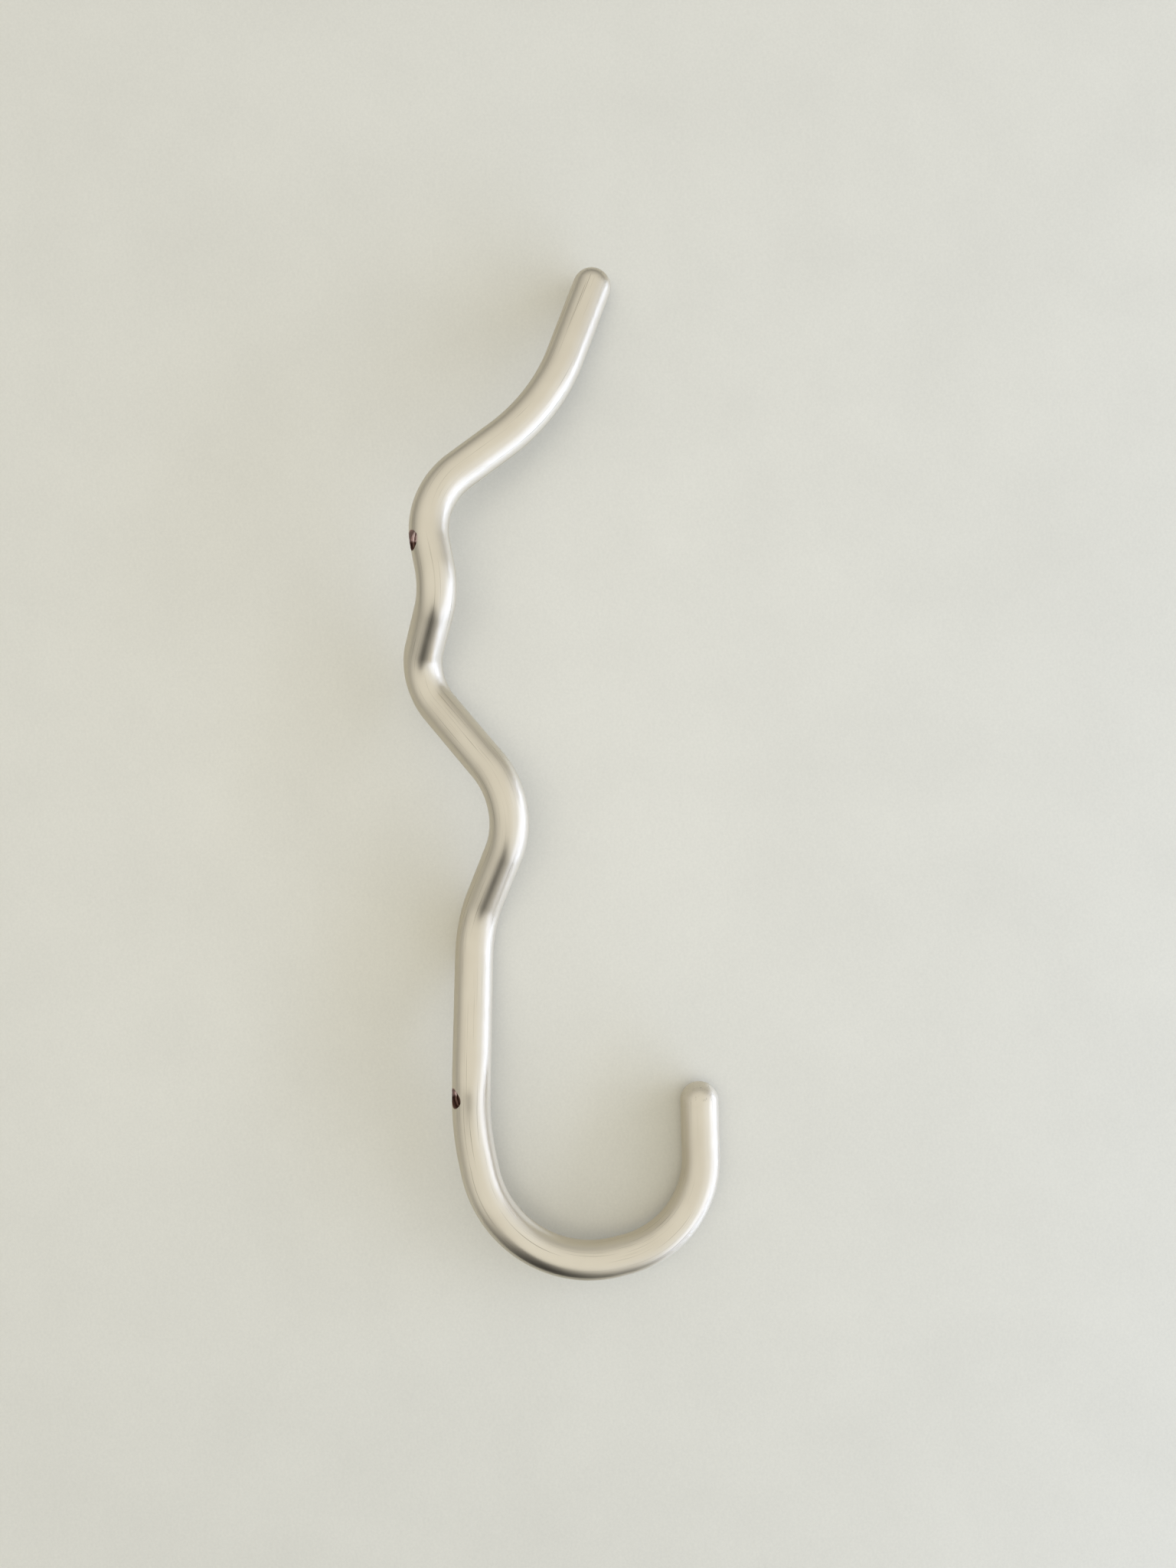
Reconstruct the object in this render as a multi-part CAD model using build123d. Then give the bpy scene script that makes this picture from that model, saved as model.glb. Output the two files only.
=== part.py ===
from build123d import *
import math
import os

# A wall hook bent from one length of round bar. From the top it has a leaning prong for a hat, a
# shoulder with the upper fixing hole, a wave that swings out and sideways, a straight neck, a heel
# with the lower fixing hole, and a wide J with an upturned end for a coat.
# Millimetres. +Z runs up the wall, +X comes straight out of it, and the wall's face is X = 0.
# +Y is to the right of someone who faces the wall.
# The origin is the mouth of the upper fixing hole, where the bar touches the wall.

# Bar
bar_diameter = 10.0
bar_radius = bar_diameter / 2

# Fixing holes, drilled square to the wall and tapped M6, so the bore has the tapping drill's size
hole_spacing = 142.0
bore_diameter = 5.0
bore_depth = 7.0
mouth_diameter = 5.5
drill_point_angle = 118.0

# Prong: its end and its bend, as distances out from the wall, sideways and above the upper hole
prong_tip_out = 54.0
prong_tip_side = -6.5
prong_tip_rise = 65.0
prong_bend_out = 37.0
prong_bend_side = -7.5
prong_bend_rise = 33.0
prong_bend_radius = 53.0

# Shoulder: a straight seat on the wall through the upper hole, slanted sideways as it rises
shoulder_slant = 15.0
shoulder_above = 11.2
shoulder_below = 13.3
shoulder_top_radius = 20.0
shoulder_foot_radius = 12.0

# Wave: its back lies on the wall, its crest stands out from it, and its foot turns into the neck
wave_back_side = 14.5
wave_back_drop = 34.5
wave_back_radius = 12.0
wave_crest_out = 18.5
wave_crest_side = -14.0
wave_crest_drop = 68.0
wave_crest_radius = 18.0
wave_foot_out = 13.0
wave_foot_side = 7.0
wave_foot_drop = 99.5
wave_foot_radius = 21.0

# Heel: a short straight seat on the wall through the lower hole
heel_slant = -10.5
heel_above = 5.8
heel_below = 9.6
heel_top_radius = 17.0
heel_foot_radius = 47.0

# J: its two bends and its end, measured from the lower hole
j_back_out = 8.0
j_back_side = -5.0
j_back_drop = 50.0
j_back_radius = 30.0
j_front_out = 56.0
j_front_side = -27.0
j_front_drop = 42.5
j_front_radius = 25.0
j_tip_out = 58.5
j_tip_side = -25.5
j_tip_drop = 7.5


def seat_corner(hole_height, slant, along):
    """The point on the bar's axis that lies a distance along a slanted seat from its hole."""
    angle = math.radians(slant)
    return Vector(bar_radius, along * math.sin(angle), hole_height + along * math.cos(angle))


def bar_path():
    """The bar's axis: straight runs that meet at the bends, each rounded by its own arc."""
    lower = -hole_spacing
    prong_tip = Vector(prong_tip_out, prong_tip_side, prong_tip_rise)
    j_tip = Vector(j_tip_out, j_tip_side, lower - j_tip_drop)
    bends = [
        (Vector(prong_bend_out, prong_bend_side, prong_bend_rise), prong_bend_radius),
        (seat_corner(0.0, shoulder_slant, shoulder_above), shoulder_top_radius),
        (seat_corner(0.0, shoulder_slant, -shoulder_below), shoulder_foot_radius),
        (Vector(bar_radius, wave_back_side, -wave_back_drop), wave_back_radius),
        (Vector(wave_crest_out, wave_crest_side, -wave_crest_drop), wave_crest_radius),
        (Vector(wave_foot_out, wave_foot_side, -wave_foot_drop), wave_foot_radius),
        (seat_corner(lower, heel_slant, heel_above), heel_top_radius),
        (seat_corner(lower, heel_slant, -heel_below), heel_foot_radius),
        (Vector(j_back_out, j_back_side, lower - j_back_drop), j_back_radius),
        (Vector(j_front_out, j_front_side, lower - j_front_drop), j_front_radius),
    ]
    corners = [prong_tip] + [corner for corner, radius in bends] + [j_tip]
    return FilletPolyline(*corners, radius=[radius for corner, radius in bends])


def bent_bar(path):
    """The round bar along its path, with a half-round end at the prong and at the J."""
    section = Plane(origin=path @ 0, z_dir=path % 0) * Circle(bar_radius)
    bar = sweep(section, path=path)
    for end in (path @ 0, path @ 1):
        bar += Pos(*end) * Sphere(bar_radius)
    return bar


def fixing_hole(height):
    """The drill's cut for one hole: a slight countersink, the bore and the drill's point."""
    bore_radius = bore_diameter / 2
    mouth_radius = mouth_diameter / 2
    countersink_depth = mouth_radius - bore_radius
    point_length = bore_radius / math.tan(math.radians(drill_point_angle / 2))
    outline = Polyline(
        (0, 0),
        (0, mouth_radius),
        (countersink_depth, bore_radius),
        (bore_depth, bore_radius),
        (bore_depth + point_length, 0),
        close=True,
    )
    cut = revolve(make_face(outline), axis=Axis.X)
    return Pos(0, 0, height) * cut


path = bar_path()
hook = bent_bar(path) - fixing_hole(0.0) - fixing_hole(-hole_spacing)

swept_volume = math.pi * bar_radius**2 * path.length
print(f"bar length along its axis: {path.length:.1f} mm")
print(f"hook volume {hook.volume:.0f} mm3, section times length {swept_volume:.0f} mm3")

os.makedirs("parts", exist_ok=True)
export_step(hook, "parts/hook.step")
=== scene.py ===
"""Looks of the wall hook: one bent, nickel-plated bar with two tapped holes, on a pale sheet.

Everything is in metres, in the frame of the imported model: +Z runs up the wall, +X comes straight
out of it, +Y is to the right of someone who faces it, and the origin is the mouth of the upper
fixing hole.
"""

import logging
import math
from dataclasses import dataclass, field
from enum import Enum

import bmesh
import bpy
from mathutils import Matrix, Vector


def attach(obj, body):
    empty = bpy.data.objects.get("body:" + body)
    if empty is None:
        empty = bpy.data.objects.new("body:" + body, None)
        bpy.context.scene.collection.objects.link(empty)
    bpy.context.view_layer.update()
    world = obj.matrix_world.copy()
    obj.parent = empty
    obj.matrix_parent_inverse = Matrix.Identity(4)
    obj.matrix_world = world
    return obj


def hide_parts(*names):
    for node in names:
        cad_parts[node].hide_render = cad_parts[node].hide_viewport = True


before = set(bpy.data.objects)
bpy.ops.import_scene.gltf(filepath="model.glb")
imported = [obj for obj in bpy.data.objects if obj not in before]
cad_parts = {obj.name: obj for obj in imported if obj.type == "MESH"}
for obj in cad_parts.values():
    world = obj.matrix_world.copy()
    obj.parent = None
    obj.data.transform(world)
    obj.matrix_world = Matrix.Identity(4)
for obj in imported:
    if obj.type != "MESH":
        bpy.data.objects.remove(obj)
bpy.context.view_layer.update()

log = logging.getLogger("wall_hook")

MM = 0.001

# The sRGB standard's curve: a straight foot, then a power with an offset
CURVE_FOOT = 0.04045
CURVE_SLOPE = 12.92
CURVE_OFFSET = 0.055
CURVE_POWER = 2.4


def linear(hex_code: str) -> tuple[float, float, float, float]:
    """Turn an sRGB hex colour into the linear colour that Blender works with.

    Args:
        hex_code: Six hex digits, with or without a leading hash.

    Returns:
        Red, green, blue and an alpha of 1.
    """
    digits = hex_code.lstrip("#")
    channels = [int(digits[i:i + 2], 16) / 255 for i in (0, 2, 4)]
    red, green, blue = (
        c / CURVE_SLOPE if c <= CURVE_FOOT
        else ((c + CURVE_OFFSET) / (1 + CURVE_OFFSET)) ** CURVE_POWER
        for c in channels
    )
    return (red, green, blue, 1.0)


def add_node(
    tree: bpy.types.NodeTree,
    kind: str,
    settings: dict[str, object] | None = None,
    inputs: dict[str | int, object] | None = None,
) -> bpy.types.Node:
    """Add one node to a tree, with its settings, its input values and its links.

    Args:
        tree: The shader or geometry tree.
        kind: Blender's name for the node's type.
        settings: Attributes of the node itself.
        inputs: For each input, by name or number, a value, or the output socket that feeds it.

    Returns:
        The new node.
    """
    node = tree.nodes.new(kind)
    for name, value in (settings or {}).items():
        setattr(node, name, value)
    for key, value in (inputs or {}).items():
        if isinstance(value, bpy.types.NodeSocket):
            tree.links.new(value, node.inputs[key])
        else:
            node.inputs[key].default_value = value
    return node


@dataclass(frozen=True)
class SatinNickel:
    """Satin nickel plate on drawn steel bar: a warm silver that mirrors the room softly.

    The bar keeps faint lines along its length from the drawing die, and the plate clouds a little
    from place to place, so reflections have slightly broken edges. The real lines are too fine for
    the picture, so they are drawn wider, and the deepest are painted darker than the plate: a
    painted reflection of thin dark edges in the room.
    """

    pale: str = "#E7DFCE"
    deep: str = "#DED5C3"
    roughness_low: float = 0.30
    roughness_high: float = 0.38
    cloud_size: float = 9 * MM
    cloud_detail: float = 3.0
    cloud_contrast: float = 0.5
    line_width: float = 0.35 * MM
    line_length: float = 30 * MM
    line_depth: float = 0.0015 * MM
    line_detail: float = 2.0
    line_contrast: float = 0.6
    line_share: float = 0.5
    grain_low: float = 0.5
    grain_high: float = 1.0
    # The painted reflection of thin dark edges, laid on the deepest die lines: its colour and where
    # it sets in
    edge_reflection: str = "#8F8676"
    edge_reflection_from: float = 0.62
    edge_reflection_full: float = 0.74
    edge_reflection_strength: float = 0.6
    pebble_size: float = 3 * MM
    pebble_detail: float = 1.0
    pebble_depth: float = 0.002 * MM

    def material(self) -> bpy.types.Material:
        """Build the plate's material from the straightened coordinates of the bar.

        Returns:
            The material, named for the finish.
        """
        surface = bpy.data.materials.new("satin_nickel_plate")
        surface.use_nodes = True
        tree = surface.node_tree
        shader = tree.nodes["Principled BSDF"]
        straight = add_node(tree, "ShaderNodeAttribute", {"attribute_name": "straight"})
        here = straight.outputs["Vector"]

        # The plate's clouds shift its colour a little
        cloud = add_node(tree, "ShaderNodeTexNoise", None, {
            "Vector": here, "Scale": 1 / self.cloud_size, "Detail": self.cloud_detail,
            "Roughness": self.cloud_contrast})
        tint = add_node(tree, "ShaderNodeMix", {"data_type": "RGBA"}, {
            "Factor": cloud.outputs["Fac"], "A": linear(self.pale), "B": linear(self.deep)})

        # Lines from the die run along the bar, and the deepest carry a painted reflection of thin
        # dark edges
        drawn = add_node(tree, "ShaderNodeMapping", None, {
            "Vector": here,
            "Scale": (1 / self.line_width, 1 / self.line_width, 1 / self.line_length)})
        lines = add_node(tree, "ShaderNodeTexNoise", None, {
            "Vector": drawn.outputs["Vector"], "Scale": 1.0, "Detail": self.line_detail,
            "Roughness": self.line_contrast})
        edge_reflection_share = add_node(tree, "ShaderNodeMapRange", None, {
            "Value": lines.outputs["Fac"], "From Min": self.edge_reflection_from,
            "From Max": self.edge_reflection_full, "To Max": self.edge_reflection_strength})
        with_edge_reflections = add_node(tree, "ShaderNodeMix", {"data_type": "RGBA"}, {
            "Factor": edge_reflection_share.outputs["Result"], "A": tint.outputs["Result"],
            "B": linear(self.edge_reflection)})
        tree.links.new(with_edge_reflections.outputs["Result"], shader.inputs["Base Color"])

        # Clouds and lines together make the plate duller here and clearer there
        grain = add_node(tree, "ShaderNodeMath", {"operation": "MULTIPLY_ADD"}, {
            0: lines.outputs["Fac"], 1: self.line_share, 2: cloud.outputs["Fac"]})
        gloss = add_node(tree, "ShaderNodeMapRange", None, {
            "Value": grain.outputs["Value"],
            "From Min": self.grain_low, "From Max": self.grain_high,
            "To Min": self.roughness_low, "To Max": self.roughness_high})
        tree.links.new(gloss.outputs["Result"], shader.inputs["Roughness"])

        # A very slight unevenness breaks the edges of what it mirrors
        pebbles = add_node(tree, "ShaderNodeTexNoise", None, {
            "Vector": here, "Scale": 1 / self.pebble_size, "Detail": self.pebble_detail})
        relief = add_node(tree, "ShaderNodeBump", None, {
            "Strength": 1.0, "Distance": self.line_depth, "Height": lines.outputs["Fac"]})
        skin = add_node(tree, "ShaderNodeBump", None, {
            "Strength": 1.0, "Distance": self.pebble_depth,
            "Height": pebbles.outputs["Fac"], "Normal": relief.outputs["Normal"]})
        tree.links.new(skin.outputs["Normal"], shader.inputs["Normal"])
        shader.inputs["Metallic"].default_value = 1.0
        return surface


class Fixing(Enum):
    """The two fixing holes, each with the height of its mouth above the upper one."""

    UPPER = 0.0
    LOWER = -142 * MM


@dataclass(frozen=True)
class CopperStrike:
    """Drilled and tapped steel with the thin copper that goes on under nickel.

    The plating bath hardly reaches into a blind hole, so its wall stays pinkish. Each hole is
    painted bright at its top, a painted reflection, and dark brown at its foot, painted shade.
    """

    # The copper where the wall is lit, and the painted shade at a hole's foot
    copper: str = "#F0D6D0"
    shaded_brown: str = "#75584C"
    metallic: float = 0.7
    roughness: float = 0.38
    stain_size: float = 1.5 * MM
    stain_detail: float = 3.0
    stain_depth: float = 0.8 * MM
    # Where the painted reflection at the top of a hole gives way to painted shade at its foot
    lit_above: float = 0.3 * MM
    shaded_below: float = -0.5 * MM

    def material(self) -> bpy.types.Material:
        """Build the material that goes from bright copper at the top of a hole, a painted
        reflection, to shaded brown at its foot, painted shade.

        Returns:
            The material, named for the finish.
        """
        surface = bpy.data.materials.new("copper_struck_steel")
        surface.use_nodes = True
        tree = surface.node_tree
        shader = tree.nodes["Principled BSDF"]
        place = add_node(tree, "ShaderNodeTexCoord")
        stain = add_node(tree, "ShaderNodeTexNoise", None, {
            "Vector": place.outputs["Object"], "Scale": 1 / self.stain_size,
            "Detail": self.stain_detail})
        parts = add_node(tree, "ShaderNodeSeparateXYZ", None, {
            "Vector": place.outputs["Object"]})

        # The height within a hole: Z is wrapped half-way between the two holes
        half_way = abs(Fixing.LOWER.value) / 2
        height = add_node(tree, "ShaderNodeMath", {"operation": "WRAP"}, {
            0: parts.outputs["Z"], 1: half_way, 2: -half_way})
        ragged = add_node(tree, "ShaderNodeMath", {"operation": "MULTIPLY_ADD"}, {
            0: stain.outputs["Fac"], 1: self.stain_depth, 2: height.outputs["Value"]})
        # Painted light: bright copper at the top of each hole, shaded brown towards its foot
        share = add_node(tree, "ShaderNodeMapRange", {"interpolation_type": "SMOOTHSTEP"}, {
            "Value": ragged.outputs["Value"],
            "From Min": self.shaded_below + self.stain_depth / 2,
            "From Max": self.lit_above + self.stain_depth / 2})
        tint = add_node(tree, "ShaderNodeMix", {"data_type": "RGBA"}, {
            "Factor": share.outputs["Result"], "A": linear(self.shaded_brown), "B": linear(self.copper)})
        tree.links.new(tint.outputs["Result"], shader.inputs["Base Color"])
        shader.inputs["Metallic"].default_value = self.metallic
        shader.inputs["Roughness"].default_value = self.roughness
        return surface


@dataclass(frozen=True)
class TappedBore:
    """A blind hole, drilled square to the wall and tapped: what the drill and the tap take away."""

    bore_radius: float = 2.5 * MM
    mouth_radius: float = 2.75 * MM
    depth: float = 7 * MM
    point_angle: float = math.radians(118)
    thread_pitch: float = 1 * MM
    thread_height: float = 0.45 * MM
    thread_start: float = 0.8 * MM
    thread_end: float = 6.4 * MM
    thread_fade: float = 0.8 * MM
    thread_flatness: float = 1.15
    overrun: float = 1 * MM
    segments: int = 64
    rows_per_pitch: int = 10

    def radius_at(self, depth: float, turn: float) -> float:
        """Give the cut's radius at a depth below the mouth.

        Args:
            depth: Distance into the bar from the wall's face.
            turn: Angle around the hole as a share of a whole turn.

        Returns:
            The radius, with the thread's groove and the slight countersink in it.
        """
        if depth <= 0:
            return self.mouth_radius
        plain = max(self.bore_radius, self.mouth_radius - depth)
        rise = (depth - self.thread_start) / self.thread_fade
        fall = (self.thread_end - depth) / self.thread_fade
        share = min(1.0, max(0.0, rise), max(0.0, fall))
        phase = (depth / self.thread_pitch - turn) % 1.0
        groove = min(1.0, self.thread_flatness * (1.0 - abs(2.0 * phase - 1.0)))
        return plain + self.thread_height * share * groove

    def cutter(self, fixing: Fixing) -> bpy.types.Object:
        """Make the closed solid that the bar loses at one hole.

        Args:
            fixing: Which of the two holes.

        Returns:
            A helper object, to be removed once the bar is cut.
        """
        step = self.thread_pitch / self.rows_per_pitch
        rows = round(self.depth / step)
        depths = [-self.overrun, 0.0] + [step * (i + 1) for i in range(rows)]
        mesh = bmesh.new()
        rings = []
        for depth in depths:
            ring = []
            for i in range(self.segments):
                angle = 2 * math.pi * i / self.segments
                radius = self.radius_at(depth, i / self.segments)
                ring.append(mesh.verts.new((
                    depth,
                    radius * math.cos(angle),
                    fixing.value + radius * math.sin(angle))))
            rings.append(ring)
        point = self.depth + self.bore_radius / math.tan(self.point_angle / 2)
        outer = mesh.verts.new((-self.overrun, 0, fixing.value))
        inner = mesh.verts.new((point, 0, fixing.value))
        for i in range(self.segments):
            j = (i + 1) % self.segments
            for near, far in zip(rings, rings[1:]):
                mesh.faces.new((near[i], near[j], far[j], far[i]))
            mesh.faces.new((outer, rings[0][j], rings[0][i]))
            mesh.faces.new((inner, rings[-1][i], rings[-1][j]))
        bmesh.ops.recalc_face_normals(mesh, faces=mesh.faces)
        data = bpy.data.meshes.new(f"{fixing.name.lower()}_bore")
        mesh.to_mesh(data)
        mesh.free()
        helper = bpy.data.objects.new(data.name, data)
        bpy.context.scene.collection.objects.link(helper)
        return helper


@dataclass(frozen=True)
class Bend:
    """One bend: where the straight runs on both sides would meet, and the radius that joins them."""

    corner: Vector
    radius: float


@dataclass
class BentBar:
    """The whole hook: straight runs of round bar that are joined by arcs, with rounded ends."""

    bar_radius: float = 5 * MM
    prong_tip: Vector = Vector((54, -6.5, 65)) * MM
    prong_bend: Vector = Vector((37, -7.5, 33)) * MM
    prong_radius: float = 53 * MM
    shoulder_slant: float = math.radians(15)
    shoulder_above: float = 11.2 * MM
    shoulder_below: float = 13.3 * MM
    shoulder_top_radius: float = 20 * MM
    shoulder_foot_radius: float = 12 * MM
    wave_back: Vector = Vector((5, 14.5, -34.5)) * MM
    wave_back_radius: float = 12 * MM
    wave_crest: Vector = Vector((18.5, -14, -68)) * MM
    wave_crest_radius: float = 18 * MM
    wave_foot: Vector = Vector((13, 7, -99.5)) * MM
    wave_foot_radius: float = 21 * MM
    heel_slant: float = math.radians(-10.5)
    heel_above: float = 5.8 * MM
    heel_below: float = 9.6 * MM
    heel_top_radius: float = 17 * MM
    heel_foot_radius: float = 47 * MM
    j_back: Vector = Vector((8, -5, -192)) * MM
    j_back_radius: float = 30 * MM
    j_front: Vector = Vector((56, -27, -184.5)) * MM
    j_front_radius: float = 25 * MM
    j_tip: Vector = Vector((58.5, -25.5, -149.5)) * MM
    ring_spacing: float = 0.5 * MM
    ring_segments: int = 80
    arc_steps: int = 48
    weld_distance: float = 0.001 * MM
    crisp_angle: float = math.radians(32)
    bore: TappedBore = field(default_factory=TappedBore)
    plate: SatinNickel = field(default_factory=SatinNickel)
    bore_finish: CopperStrike = field(default_factory=CopperStrike)

    def seat_corner(self, fixing: Fixing, slant: float, along: float) -> Vector:
        """Find a point of the bar's axis on a slanted seat that lies against the wall.

        Args:
            fixing: The hole that the seat holds.
            slant: The seat's lean towards +Y as it rises.
            along: Distance along the seat, upwards from the hole.

        Returns:
            The point, one bar radius out from the wall.
        """
        side = along * math.sin(slant)
        height = fixing.value + along * math.cos(slant)
        return Vector((self.bar_radius, side, height))

    def bends(self) -> list[Bend]:
        """List the bends from the prong down to the J.

        Returns:
            The ten bends in order.
        """
        upper, lower = Fixing.UPPER, Fixing.LOWER
        shoulder_top = self.seat_corner(upper, self.shoulder_slant, self.shoulder_above)
        shoulder_foot = self.seat_corner(upper, self.shoulder_slant, -self.shoulder_below)
        heel_top = self.seat_corner(lower, self.heel_slant, self.heel_above)
        heel_foot = self.seat_corner(lower, self.heel_slant, -self.heel_below)
        return [
            Bend(self.prong_bend, self.prong_radius),
            Bend(shoulder_top, self.shoulder_top_radius),
            Bend(shoulder_foot, self.shoulder_foot_radius),
            Bend(self.wave_back, self.wave_back_radius),
            Bend(self.wave_crest, self.wave_crest_radius),
            Bend(self.wave_foot, self.wave_foot_radius),
            Bend(heel_top, self.heel_top_radius),
            Bend(heel_foot, self.heel_foot_radius),
            Bend(self.j_back, self.j_back_radius),
            Bend(self.j_front, self.j_front_radius),
        ]

    def corner_line(self) -> bpy.types.Object:
        """Make the bare line through the corners, which the node tree turns into the bar.

        Each end is carried on by one bar radius, the room that its rounding takes.

        Returns:
            An object of points and edges with each corner's bend radius in an attribute.
        """
        bends = self.bends()
        first = bends[0].corner
        last = bends[-1].corner
        start = self.prong_tip + (self.prong_tip - first).normalized() * self.bar_radius
        end = self.j_tip + (self.j_tip - last).normalized() * self.bar_radius
        corners = [start] + [bend.corner for bend in bends] + [end]
        radii = [0.0] + [bend.radius for bend in bends] + [0.0]
        data = bpy.data.meshes.new("bar_line")
        data.from_pydata(corners, [(i, i + 1) for i in range(len(corners) - 1)], [])
        radius = data.attributes.new("bend_radius", "FLOAT", "POINT")
        radius.data.foreach_set("value", radii)
        line = bpy.data.objects.new("bar_line", data)
        bpy.context.scene.collection.objects.link(line)
        return line

    def bending_tree(self) -> bpy.types.NodeTree:
        """Build the node tree that bends, sweeps, rounds and drills the bar.

        Returns:
            A geometry tree with a named input for each size, cutter and material.
        """
        tree = bpy.data.node_groups.new("bent_bar", "GeometryNodeTree")
        sockets = (
            ("Line", "NodeSocketGeometry"),
            ("Bar Radius", "NodeSocketFloat"),
            ("Arc Steps", "NodeSocketInt"),
            ("Ring Spacing", "NodeSocketFloat"),
            ("Ring Segments", "NodeSocketInt"),
            ("Weld Distance", "NodeSocketFloat"),
            ("Crisp Angle", "NodeSocketFloat"),
            ("Upper Cutter", "NodeSocketObject"),
            ("Lower Cutter", "NodeSocketObject"),
            ("Plate", "NodeSocketMaterial"),
            ("Bore Finish", "NodeSocketMaterial"),
        )
        for name, kind in sockets:
            tree.interface.new_socket(name=name, in_out="INPUT", socket_type=kind)
        tree.interface.new_socket(
            name="Bar", in_out="OUTPUT", socket_type="NodeSocketGeometry")
        given = add_node(tree, "NodeGroupInput").outputs
        radius = given["Bar Radius"]

        # The line through the corners, with an arc at each bend
        line = add_node(tree, "GeometryNodeMeshToCurve", None, {"Mesh": given["Line"]})
        bend = add_node(tree, "GeometryNodeInputNamedAttribute", {"data_type": "FLOAT"}, {
            "Name": "bend_radius"})
        arcs = add_node(tree, "GeometryNodeFilletCurve", {"mode": "POLY"}, {
            "Curve": line.outputs["Curve"], "Count": given["Arc Steps"],
            "Radius": bend.outputs["Attribute"], "Limit Radius": False})
        path = add_node(tree, "GeometryNodeResampleCurve", {"mode": "LENGTH"}, {
            "Curve": arcs.outputs["Curve"], "Length": given["Ring Spacing"]})

        # How far each ring is from the nearer end, as a share of the bar radius
        place = add_node(tree, "GeometryNodeSplineParameter")
        whole = add_node(tree, "GeometryNodeSplineLength")
        to_end = add_node(tree, "ShaderNodeMath", {"operation": "SUBTRACT"}, {
            0: whole.outputs["Length"], 1: place.outputs["Length"]})
        nearer = add_node(tree, "ShaderNodeMath", {"operation": "MINIMUM"}, {
            0: place.outputs["Length"], 1: to_end.outputs["Value"]})
        share = add_node(tree, "ShaderNodeMath", {"operation": "DIVIDE", "use_clamp": True}, {
            0: nearer.outputs["Value"], 1: radius})

        # Rings near an end move onto a half sphere: equal angles instead of equal lengths
        angle = add_node(tree, "ShaderNodeMath", {"operation": "MULTIPLY"}, {
            0: share.outputs["Value"], 1: math.pi / 2})
        taper = add_node(tree, "ShaderNodeMath", {"operation": "SINE"}, {
            0: angle.outputs["Value"]})
        drop = add_node(tree, "ShaderNodeMath", {"operation": "COSINE"}, {
            0: angle.outputs["Value"]})
        level = add_node(tree, "ShaderNodeMath", {"operation": "SUBTRACT"}, {
            0: 1.0, 1: drop.outputs["Value"]})
        lag = add_node(tree, "ShaderNodeMath", {"operation": "SUBTRACT"}, {
            0: level.outputs["Value"], 1: share.outputs["Value"]})
        shift = add_node(tree, "ShaderNodeMath", {"operation": "MULTIPLY"}, {
            0: lag.outputs["Value"], 1: radius})
        first_half = add_node(tree, "ShaderNodeMath", {"operation": "LESS_THAN"}, {
            0: place.outputs["Factor"], 1: 0.5})
        side = add_node(tree, "ShaderNodeMath", {"operation": "MULTIPLY_ADD"}, {
            0: first_half.outputs["Value"], 1: 2.0, 2: -1.0})
        signed = add_node(tree, "ShaderNodeMath", {"operation": "MULTIPLY"}, {
            0: shift.outputs["Value"], 1: side.outputs["Value"]})
        along = add_node(tree, "ShaderNodeMath", {"operation": "ADD"}, {
            0: place.outputs["Length"], 1: signed.outputs["Value"]})
        tangent = add_node(tree, "GeometryNodeInputTangent")
        offset = add_node(tree, "ShaderNodeVectorMath", {"operation": "SCALE"}, {
            "Vector": tangent.outputs["Tangent"], "Scale": signed.outputs["Value"]})

        # The sizes of each ring are stored before the rings move
        kept_taper = add_node(tree, "GeometryNodeStoreNamedAttribute", {
            "data_type": "FLOAT", "domain": "POINT"}, {
            "Geometry": path.outputs["Curve"], "Name": "taper", "Value": taper.outputs["Value"]})
        kept_along = add_node(tree, "GeometryNodeStoreNamedAttribute", {
            "data_type": "FLOAT", "domain": "POINT"}, {
            "Geometry": kept_taper.outputs["Geometry"], "Name": "along",
            "Value": along.outputs["Value"]})
        rounded = add_node(tree, "GeometryNodeSetPosition", None, {
            "Geometry": kept_along.outputs["Geometry"], "Offset": offset.outputs["Vector"]})
        ring = add_node(tree, "GeometryNodeCurvePrimitiveCircle", None, {
            "Resolution": given["Ring Segments"], "Radius": radius})
        here = add_node(tree, "GeometryNodeInputPosition")
        kept_across = add_node(tree, "GeometryNodeStoreNamedAttribute", {
            "data_type": "FLOAT_VECTOR", "domain": "POINT"}, {
            "Geometry": ring.outputs["Curve"], "Name": "across",
            "Value": here.outputs["Position"]})
        size = add_node(tree, "GeometryNodeInputNamedAttribute", {"data_type": "FLOAT"}, {
            "Name": "taper"})
        swept = add_node(tree, "GeometryNodeCurveToMesh", None, {
            "Curve": rounded.outputs["Geometry"],
            "Profile Curve": kept_across.outputs["Geometry"],
            "Scale": size.outputs["Attribute"]})

        # Where each point would lie if the bar were straight: what the finish's patterns follow
        across = add_node(tree, "GeometryNodeInputNamedAttribute", {
            "data_type": "FLOAT_VECTOR"}, {"Name": "across"})
        length = add_node(tree, "GeometryNodeInputNamedAttribute", {"data_type": "FLOAT"}, {
            "Name": "along"})
        across_here = add_node(tree, "ShaderNodeVectorMath", {"operation": "SCALE"}, {
            "Vector": across.outputs["Attribute"], "Scale": size.outputs["Attribute"]})
        along_here = add_node(tree, "ShaderNodeCombineXYZ", None, {
            "Z": length.outputs["Attribute"]})
        straight = add_node(tree, "ShaderNodeVectorMath", {"operation": "ADD"}, {
            0: across_here.outputs["Vector"], 1: along_here.outputs["Vector"]})
        mapped = add_node(tree, "GeometryNodeStoreNamedAttribute", {
            "data_type": "FLOAT_VECTOR", "domain": "POINT"}, {
            "Geometry": swept.outputs["Mesh"], "Name": "straight",
            "Value": straight.outputs["Vector"]})
        closed = add_node(tree, "GeometryNodeMergeByDistance", None, {
            "Geometry": mapped.outputs["Geometry"], "Distance": given["Weld Distance"]})

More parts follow.
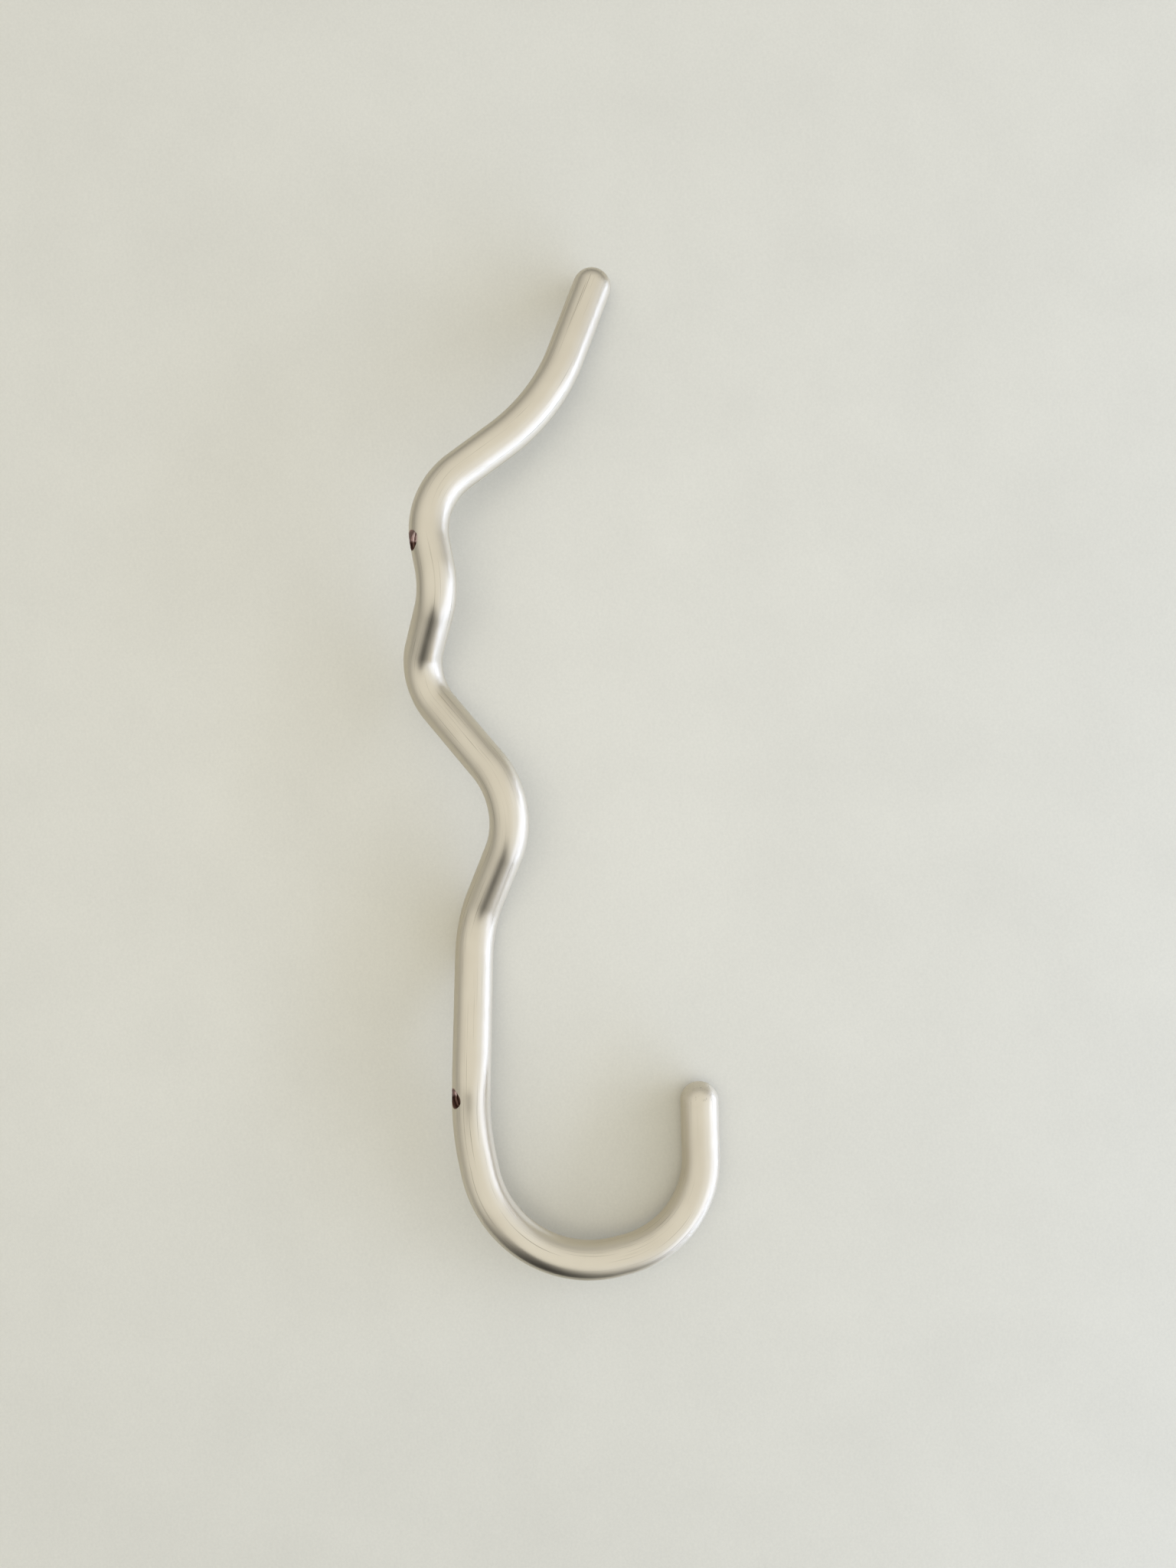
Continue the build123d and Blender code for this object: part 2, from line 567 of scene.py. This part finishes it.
        # The two holes, whose walls are marked for their own finish
        bores = add_node(tree, "GeometryNodeJoinGeometry")
        for name in ("Upper Cutter", "Lower Cutter"):
            cutter = add_node(tree, "GeometryNodeObjectInfo", None, {"Object": given[name]})
            tree.links.new(cutter.outputs["Geometry"], bores.inputs["Geometry"])
        marked = add_node(tree, "GeometryNodeStoreNamedAttribute", {
            "data_type": "BOOLEAN", "domain": "FACE"}, {
            "Geometry": bores.outputs["Geometry"], "Name": "in_bore", "Value": True})
        drilled = add_node(tree, "GeometryNodeMeshBoolean", {
            "operation": "DIFFERENCE", "solver": "EXACT"}, {
            "Mesh 1": closed.outputs["Geometry"], "Mesh 2": marked.outputs["Geometry"]})

        # Smooth faces with crisp edges at the holes, one solid mesh, and the two finishes
        smooth = add_node(tree, "GeometryNodeSetShadeSmooth", {"domain": "FACE"}, {
            "Geometry": drilled.outputs["Mesh"], "Shade Smooth": True})
        bend_angle = add_node(tree, "GeometryNodeInputMeshEdgeAngle")
        crisp = add_node(tree, "ShaderNodeMath", {"operation": "GREATER_THAN"}, {
            0: bend_angle.outputs["Unsigned Angle"], 1: given["Crisp Angle"]})
        edged = add_node(tree, "GeometryNodeSetShadeSmooth", {"domain": "EDGE"}, {
            "Geometry": smooth.outputs["Geometry"], "Selection": crisp.outputs["Value"],
            "Shade Smooth": False})
        solid = add_node(tree, "GeometryNodeRealizeInstances", None, {
            "Geometry": edged.outputs["Geometry"]})
        plated = add_node(tree, "GeometryNodeSetMaterial", None, {
            "Geometry": solid.outputs["Geometry"], "Material": given["Plate"]})
        in_bore = add_node(tree, "GeometryNodeInputNamedAttribute", {
            "data_type": "BOOLEAN"}, {"Name": "in_bore"})
        finished = add_node(tree, "GeometryNodeSetMaterial", None, {
            "Geometry": plated.outputs["Geometry"],
            "Selection": in_bore.outputs["Attribute"], "Material": given["Bore Finish"]})
        add_node(tree, "NodeGroupOutput", None, {"Bar": finished.outputs["Geometry"]})
        return tree

    def build(self) -> bpy.types.Object:
        """Bend, round and drill the bar, and turn the result into one plain mesh.

        Returns:
            The finished piece, at the origin.
        """
        line = self.corner_line()
        upper = self.bore.cutter(Fixing.UPPER)
        lower = self.bore.cutter(Fixing.LOWER)
        tree = self.bending_tree()
        values = {
            "Bar Radius": self.bar_radius,
            "Arc Steps": self.arc_steps,
            "Ring Spacing": self.ring_spacing,
            "Ring Segments": self.ring_segments,
            "Weld Distance": self.weld_distance,
            "Crisp Angle": self.crisp_angle,
            "Upper Cutter": upper,
            "Lower Cutter": lower,
            "Plate": self.plate.material(),
            "Bore Finish": self.bore_finish.material(),
        }
        identifiers = {
            item.name: item.identifier
            for item in tree.interface.items_tree
            if item.in_out == "INPUT"
        }
        modifier = line.modifiers.new("bent_bar", "NODES")
        modifier.node_group = tree
        for name, value in values.items():
            modifier[identifiers[name]] = value
        graph = bpy.context.evaluated_depsgraph_get()
        mesh = bpy.data.meshes.new_from_object(line.evaluated_get(graph), depsgraph=graph)
        mesh.name = "hook_bar"
        for helper in (line, upper, lower):
            bpy.data.objects.remove(helper)
        piece = bpy.data.objects.new("hook_bar", mesh)
        bpy.context.scene.collection.objects.link(piece)
        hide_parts("hook")
        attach(piece, "root")
        return piece


@dataclass(frozen=True)
class Stand:
    """Where the camera stands: its eye, and the picture's right, up and towards-the-camera axes."""

    eye: Vector = Vector((-134.5, -301.1, -41.8)) * MM
    right: Vector = Vector((0.8528, -0.5178, -0.0683))
    up: Vector = Vector((0.0930, 0.0220, 0.9954))
    lens: float = 29.88
    sensor: float = 36.0
    nearest: float = 10 * MM
    sheet_distance: float = 347.1 * MM

    @property
    def back(self) -> Vector:
        """The axis from the sheet towards the camera."""
        return self.right.cross(self.up).normalized()

    @property
    def sheet_centre(self) -> Vector:
        """The point of the sheet at the middle of the picture."""
        return self.eye - self.back * self.sheet_distance

    def point(self, right: float, up: float, back: float) -> Vector:
        """Find a point by its distances from the sheet's centre along the picture's axes.

        Args:
            right: Distance to the right in the picture.
            up: Distance up in the picture.
            back: Distance from the sheet towards the camera.

        Returns:
            The point in the model's frame.
        """
        return self.sheet_centre + self.right * right + self.up * up + self.back * back


@dataclass(frozen=True)
class Softbox:
    """A rectangle of light that faces the middle of the sheet.

    Its turn is its direction in the picture, in degrees anticlockwise from the right. Its lift is
    its angle above the sheet, in degrees, and below zero it is behind the sheet. Lengths are in
    metres, and the radiance is that of its face.
    """

    name: str
    turn: float
    lift: float
    distance: float
    width: float
    height: float
    colour: str
    radiance: float
    sheet_only: bool = False
    through_sheet: bool = False


@dataclass
class Studio:
    """A pale sheet behind the hook, a pale floor, soft light all round and a window at the right.

    The metal mirrors all of it. The sheet's bright middle ends at a dark ground, and a dark card
    near the sheet's horizon draws the streaks on the bends.
    """

    stand: Stand = field(default_factory=Stand)
    sheet_width: float = 360 * MM
    sheet_height: float = 480 * MM
    sheet_colour: str = "#D2CFC2"
    # Painted shade: the sheet is this much darker where the metal mirrors it, for the paper in the
    # hook's shadow
    mirrored_shade: float = 0.88
    sheet_roughness: float = 0.38
    sheet_gloss: float = 1.0
    mottle_size: float = 25 * MM
    mottle_detail: float = 4.0
    mottle: float = 0.05
    fibre_size: float = 0.6 * MM
    fibre_detail: float = 3.0
    fibre: float = 0.07
    ground_colour: str = "#1C1B18"
    ground_roughness: float = 0.2
    bright_left: float = -140 * MM
    bright_right: float = 180 * MM
    mirrored_right: float = 600 * MM
    bright_top: float = 166 * MM
    bright_bottom: float = -164 * MM
    ground_reach: float = 1.2
    ground_drop: float = 1 * MM
    card_turn: float = -102.0
    card_lift: float = 14.0
    card_distance: float = 1200 * MM
    card_foot_width: float = 2860 * MM
    card_head_width: float = 880 * MM
    card_height: float = 1640 * MM
    card_head_fade: float = 0.1
    card_radiance: float = 0.0
    floor_colour: str = "#F4F4EE"
    floor_gloss: float = 0.15
    floor_height: float = -300 * MM
    floor_size: float = 8.0
    room_colour: str = "#FFFEF8"
    # Each step of the room's light: the sine of its angle above the sheet, and its radiance
    room_steps: tuple[tuple[float, float], ...] = (
        (-1.0, 0.80),
        (-0.2, 0.60),
        (0.0, 0.44),
        (0.17, 0.52),
        (0.34, 0.65),
        (0.5, 0.76),
        (0.7, 0.86),
        (1.0, 0.88),
    )
    # The windows light all but the floor. The sheet's own lamps give it its tone and its shadows
    # and leave the metal alone. The glow stands for the paper's sheen towards the window.
    softboxes: tuple[Softbox, ...] = (
        Softbox("window", -27.0, 9.0, 0.9, 1.3, 0.56, "#CCDBFF", 0.9),
        Softbox("window_low_wall", -15.0, 12.0, 0.9, 2.15, 0.60, "#E0EAFF", 0.42),
        Softbox("window_high_wall", -18.0, 46.0, 0.9, 1.7, 0.50, "#C8DCFF", 0.20),
        Softbox("sheet_glow", -16.0, -44.0, 0.9, 2.0, 0.84, "#CCDDFF", 0.42, False, True),
        Softbox("sheet_side_lamp", -16.0, 10.5, 1.5, 3.0, 0.50, "#C4D6FF", 8.5, True),
        Softbox("sheet_high_lamp", -15.0, 28.0, 1.5, 2.3, 0.75, "#D0DEFF", 1.7, True),
        Softbox("sheet_front_lamp", 180.0, 80.0, 1.5, 1.0, 1.0, "#FFF6E2", 0.9, True),
    )
    lit_sheet: bpy.types.Collection = field(init=False)
    plain_floor: bpy.types.Collection = field(init=False)
    all_but_sheet: bpy.types.Collection = field(init=False)

    def __post_init__(self) -> None:
        """Make the groups of pieces that single lights reach, miss or pass."""
        self.lit_sheet = bpy.data.collections.new("lit_sheet")
        self.plain_floor = bpy.data.collections.new("plain_floor")
        self.all_but_sheet = bpy.data.collections.new("all_but_sheet")

    def surface(
        self, name: str, colour: str, sheen: float, see_through: bool
    ) -> bpy.types.Material:
        """Make a smooth paper surface with a faint mottle and painted shade where it is mirrored.

        Real fibres are too fine for the picture, so they are drawn coarser.

        Args:
            name: The material's name.
            colour: Its sRGB colour.
            sheen: Its specular level.
            see_through: Whether it is clear when seen from behind.

        Returns:
            The material.
        """
        paper = bpy.data.materials.new(name)
        paper.use_nodes = True
        tree = paper.node_tree
        shader = tree.nodes["Principled BSDF"]
        shader.inputs["Roughness"].default_value = self.sheet_roughness
        shader.inputs["Specular IOR Level"].default_value = sheen
        place = add_node(tree, "ShaderNodeTexCoord")
        mottle = add_node(tree, "ShaderNodeTexNoise", None, {
            "Vector": place.outputs["Object"], "Scale": 1 / self.mottle_size,
            "Detail": self.mottle_detail})
        fibres = add_node(tree, "ShaderNodeTexNoise", None, {
            "Vector": place.outputs["Object"], "Scale": 1 / self.fibre_size,
            "Detail": self.fibre_detail})
        clouds = add_node(tree, "ShaderNodeMapRange", None, {
            "Value": mottle.outputs["Fac"], "To Min": 1 - self.mottle, "To Max": 1 + self.mottle})
        specks = add_node(tree, "ShaderNodeMapRange", None, {
            "Value": fibres.outputs["Fac"], "To Min": 1 - self.fibre, "To Max": 1 + self.fibre})
        both = add_node(tree, "ShaderNodeMath", {"operation": "MULTIPLY"}, {
            0: clouds.outputs["Result"], 1: specks.outputs["Result"]})
        ray = add_node(tree, "ShaderNodeLightPath")
        # Painted shade: the paper the metal mirrors is darker, for the paper in the hook's shadow
        seen = add_node(tree, "ShaderNodeMapRange", None, {
            "Value": ray.outputs["Is Glossy Ray"], "To Min": 1.0, "To Max": self.mirrored_shade})
        tone = add_node(tree, "ShaderNodeMath", {"operation": "MULTIPLY"}, {
            0: both.outputs["Value"], 1: seen.outputs["Result"]})
        tint = add_node(tree, "ShaderNodeVectorMath", {"operation": "SCALE"}, {
            "Vector": linear(colour)[:3], "Scale": tone.outputs["Value"]})
        tree.links.new(tint.outputs["Vector"], shader.inputs["Base Color"])
        if see_through:
            side = add_node(tree, "ShaderNodeNewGeometry")
            clear = add_node(tree, "ShaderNodeBsdfTransparent")
            choice = add_node(tree, "ShaderNodeMixShader", None, {
                0: side.outputs["Backfacing"], 1: shader.outputs["BSDF"],
                2: clear.outputs["BSDF"]})
            output = tree.nodes["Material Output"]
            tree.links.new(choice.outputs["Shader"], output.inputs["Surface"])
        return paper

    def panel(self, name: str, centre: Vector, across: Vector, along: Vector) -> bpy.types.Object:
        """Make a flat panel.

        Args:
            name: The panel's name.
            centre: Its centre.
            across: From its centre to the middle of its right edge.
            along: From its centre to the middle of its top edge.

        Returns:
            The panel, facing the side from which across turns to along anticlockwise.
        """
        corners = [
            centre - across - along,
            centre + across - along,
            centre + across + along,
            centre - across + along,
        ]
        data = bpy.data.meshes.new(name)
        data.from_pydata(corners, [], [(0, 1, 2, 3)])
        spread = data.uv_layers.new(name="spread")
        for loop, place in zip(spread.data, ((-1, -1), (1, -1), (1, 1), (-1, 1))):
            loop.uv = place
        board = bpy.data.objects.new(name, data)
        bpy.context.scene.collection.objects.link(board)
        return board

    def build_sheet(self) -> None:
        """Lay the pale sheet behind the hook, square to the camera and just touching it.

        The metal mirrors its bright middle, and at the right, where the window is, a piece beyond
        it. The border around the middle isn't mirrored, so that the metal has a dark edge to
        mirror at the sheet's horizon.
        """
        stand = self.stand
        west, east = self.bright_left, self.bright_right
        south, north = self.bright_bottom, self.bright_top
        paper = self.surface("smooth_sheet", self.sheet_colour, self.sheet_gloss, True)
        sheet = self.panel(
            "pale_sheet",
            stand.point((west + east) / 2, (south + north) / 2, 0),
            stand.right * ((east - west) / 2),
            stand.up * ((north - south) / 2),
        )
        sheet.data.materials.append(paper)
        self.lit_sheet.objects.link(sheet)

        # The border is a grid of cells with the bright middle left open
        columns = (-self.sheet_width / 2, west, east)
        rows = (-self.sheet_height / 2, south, north, self.sheet_height / 2)
        bright_cell = (1, 1)
        points = [stand.point(across, along, 0) for along in rows for across in columns]
        faces = []
        across_count = len(columns)
        for row in range(len(rows) - 1):
            for column in range(across_count - 1):
                if (row, column) != bright_cell:
                    first = row * across_count + column
                    above = first + across_count
                    faces.append((first, first + 1, above + 1, above))
        data = bpy.data.meshes.new("pale_border")
        data.from_pydata(points, [], faces)
        data.materials.append(paper)
        border = bpy.data.objects.new("pale_border", data)
        bpy.context.scene.collection.objects.link(border)
        border.visible_glossy = False
        self.lit_sheet.objects.link(border)

        beyond = self.panel(
            "sheet_beyond",
            stand.point((east + self.mirrored_right) / 2, (south + north) / 2, 0),
            stand.right * ((self.mirrored_right - east) / 2),
            stand.up * ((north - south) / 2),
        )
        beyond.data.materials.append(paper)
        self.lit_sheet.objects.link(beyond)
        self.only_mirrored(beyond)

    def build_floor(self) -> None:
        """Lay the pale floor below the hook, lit by the room alone and not mirrored."""
        half = self.floor_size / 2
        floor = self.panel(
            "pale_floor",
            Vector((0, 0, self.floor_height)),
            Vector((half, 0, 0)),
            Vector((0, half, 0)),
        )
        pale = self.surface("smooth_floor", self.floor_colour, self.floor_gloss, False)
        floor.data.materials.append(pale)
        floor.visible_glossy = False
        floor.visible_shadow = False
        self.plain_floor.objects.link(floor)
        self.plain_floor.collection_objects[0].light_linking.link_state = "EXCLUDE"

    def only_mirrored(self, panel: bpy.types.Object) -> None:
        """Let a panel show only as a reflection.

        Args:
            panel: The panel.
        """
        panel.visible_camera = False
        panel.visible_diffuse = False
        panel.visible_transmission = False
        panel.visible_shadow = False

    def build_ground(self) -> None:
        """Lay the dark polished ground that the metal mirrors beyond the bright sheet."""
        stand = self.stand
        ground = self.panel(
            "dark_ground",
            stand.point(0, 0, -self.ground_drop),
            stand.right * self.ground_reach,
            stand.up * self.ground_reach,
        )
        polish = bpy.data.materials.new("dark_ground")
        polish.use_nodes = True
        shader = polish.node_tree.nodes["Principled BSDF"]
        shader.inputs["Base Color"].default_value = linear(self.ground_colour)
        shader.inputs["Roughness"].default_value = self.ground_roughness
        ground.data.materials.append(polish)
        self.only_mirrored(ground)

    def aim(self, turn: float, lift: float) -> tuple[Vector, Vector, Vector]:
        """Find the axes of something that faces the middle of the sheet.

        Args:
            turn: Its direction in the picture, in degrees anticlockwise from the right.
            lift: Its angle above the sheet, in degrees.

        Returns:
            Its side axis, its rising axis, and the axis from the sheet towards it.
        """
        stand = self.stand
        angle = math.radians(turn)
        rise_angle = math.radians(lift)
        flat = stand.right * math.cos(angle) + stand.up * math.sin(angle)
        out = flat * math.cos(rise_angle) + stand.back * math.sin(rise_angle)
        side = stand.back.cross(flat)
        return side, out.cross(side), out

    def build_card(self) -> None:
        """Hang the dark card below the camera, which the bends mirror as dark streaks.

        It is widest at its foot, and fades towards its sides and its head.
        """
        side, rise, out = self.aim(self.card_turn, self.card_lift)
        card = self.panel(
            "dark_card",
            self.stand.sheet_centre + out * self.card_distance,
            side * (self.card_foot_width / 2),
            rise * (self.card_height / 2),
        )
        dark = bpy.data.materials.new("dark_card")
        dark.use_nodes = True
        tree = dark.node_tree
        tree.nodes.remove(tree.nodes["Principled BSDF"])
        shade = add_node(tree, "ShaderNodeEmission", None, {
            "Color": linear(self.room_colour), "Strength": self.card_radiance})
        place = add_node(tree, "ShaderNodeUVMap", {"uv_map": "spread"})
        apart = add_node(tree, "ShaderNodeSeparateXYZ", None, {"Vector": place.outputs["UV"]})

        # How far out a point is, as a share of the card's half width at its height
        sideways = add_node(tree, "ShaderNodeMath", {"operation": "ABSOLUTE"}, {
            0: apart.outputs["X"]})
        wide = add_node(tree, "ShaderNodeMapRange", None, {
            "Value": apart.outputs["Y"], "From Min": -1.0, "To Min": 1.0,
            "To Max": self.card_head_width / self.card_foot_width})
        reach = add_node(tree, "ShaderNodeMath", {"operation": "DIVIDE"}, {
            0: sideways.outputs["Value"], 1: wide.outputs["Result"]})
        middle = add_node(tree, "ShaderNodeMapRange", {"interpolation_type": "SMOOTHSTEP"}, {
            "Value": reach.outputs["Value"], "From Min": 1.0, "From Max": 0.0})
        head = add_node(tree, "ShaderNodeMapRange", {"interpolation_type": "SMOOTHSTEP"}, {
            "Value": apart.outputs["Y"], "From Min": 1.0, "From Max": 1.0 - self.card_head_fade})
        cover = add_node(tree, "ShaderNodeMath", {"operation": "MULTIPLY"}, {
            0: middle.outputs["Result"], 1: head.outputs["Result"]})
        clear = add_node(tree, "ShaderNodeBsdfTransparent")
        faded = add_node(tree, "ShaderNodeMixShader", None, {
            0: cover.outputs["Value"], 1: clear.outputs["BSDF"], 2: shade.outputs["Emission"]})
        output = tree.nodes["Material Output"]
        tree.links.new(faded.outputs["Shader"], output.inputs["Surface"])
        card.data.materials.append(dark)
        self.only_mirrored(card)

    def open_sheet(self) -> None:
        """Let the glow behind the sheet pass it: the paper's sheen, at the metal's right edge."""
        for name in ("pale_sheet", "pale_border", "sheet_beyond", "dark_ground"):
            self.all_but_sheet.objects.link(bpy.data.objects[name])
        for member in self.all_but_sheet.collection_objects:
            member.light_linking.link_state = "EXCLUDE"

    def build_softbox(self, box: Softbox) -> None:
        """Hang one rectangle of light, facing the middle of the sheet.

        Args:
            box: The light and its place.
        """
        side, rise, out = self.aim(box.turn, box.lift)
        place = self.stand.sheet_centre + out * box.distance
        lamp = bpy.data.lights.new(box.name, "AREA")
        lamp.shape = "RECTANGLE"
        lamp.size = box.width
        lamp.size_y = box.height
        lamp.color = linear(box.colour)[:3]
        area = box.width * box.height
        lamp.energy = box.radiance * math.pi * area
        light = bpy.data.objects.new(box.name, lamp)
        axes = Matrix((side, rise, out)).transposed().to_4x4()
        light.matrix_world = Matrix.Translation(place) @ axes
        light.visible_camera = False
        lit = self.lit_sheet if box.sheet_only else self.plain_floor
        light.light_linking.receiver_collection = lit
        if box.through_sheet:
            light.light_linking.blocker_collection = self.all_but_sheet
        bpy.context.scene.collection.objects.link(light)

    def build_room(self) -> None:
        """Fill the room with soft, slightly warm light that dims towards the sheet's horizon."""
        room = bpy.data.worlds.new("room")
        room.use_nodes = True
        tree = room.node_tree
        light = tree.nodes["Background"]
        direction = add_node(tree, "ShaderNodeTexCoord")
        height = add_node(tree, "ShaderNodeVectorMath", {"operation": "DOT_PRODUCT"}, {
            0: direction.outputs["Generated"], 1: self.stand.back})
        share = add_node(tree, "ShaderNodeMapRange", None, {
            "Value": height.outputs["Value"], "From Min": -1.0, "From Max": 1.0})
        ramp = add_node(tree, "ShaderNodeValToRGB", None, {"Fac": share.outputs["Result"]})
        steps = ramp.color_ramp.elements
        while len(steps) < len(self.room_steps):
            steps.new(0.5)
        for step, (place, radiance) in zip(steps, self.room_steps):
            step.position = (place + 1) / 2
            step.color = (radiance, radiance, radiance, 1)
        light.inputs["Color"].default_value = linear(self.room_colour)
        tree.links.new(ramp.outputs["Color"], light.inputs["Strength"])
        bpy.context.scene.world = room

    def build_camera(self) -> None:
        """Stand the camera where the picture was taken from."""
        stand = self.stand
        view = bpy.data.cameras.new("camera")
        view.sensor_width = stand.sensor
        view.lens = stand.lens
        view.clip_start = stand.nearest
        camera = bpy.data.objects.new("camera", view)
        axes = Matrix((stand.right, stand.up, stand.back)).transposed().to_4x4()
        camera.matrix_world = Matrix.Translation(stand.eye) @ axes
        bpy.context.scene.collection.objects.link(camera)
        bpy.context.scene.camera = camera

    def build(self) -> None:
        """Build the whole studio."""
        self.build_sheet()
        self.build_floor()
        self.build_ground()
        self.build_card()
        self.open_sheet()
        for box in self.softboxes:
            self.build_softbox(box)
        self.build_room()
        self.build_camera()


def main() -> None:
    """Build the hook and the studio, and report each piece."""
    logging.basicConfig(level=logging.INFO, format="%(name)s: %(message)s")
    bpy.context.scene.view_settings.view_transform = "Standard"
    piece = BentBar().build()
    log.info("%s: %d faces", piece.name, len(piece.data.polygons))
    Studio().build()
    log.info("studio built")


if __name__ == "__main__":
    main()
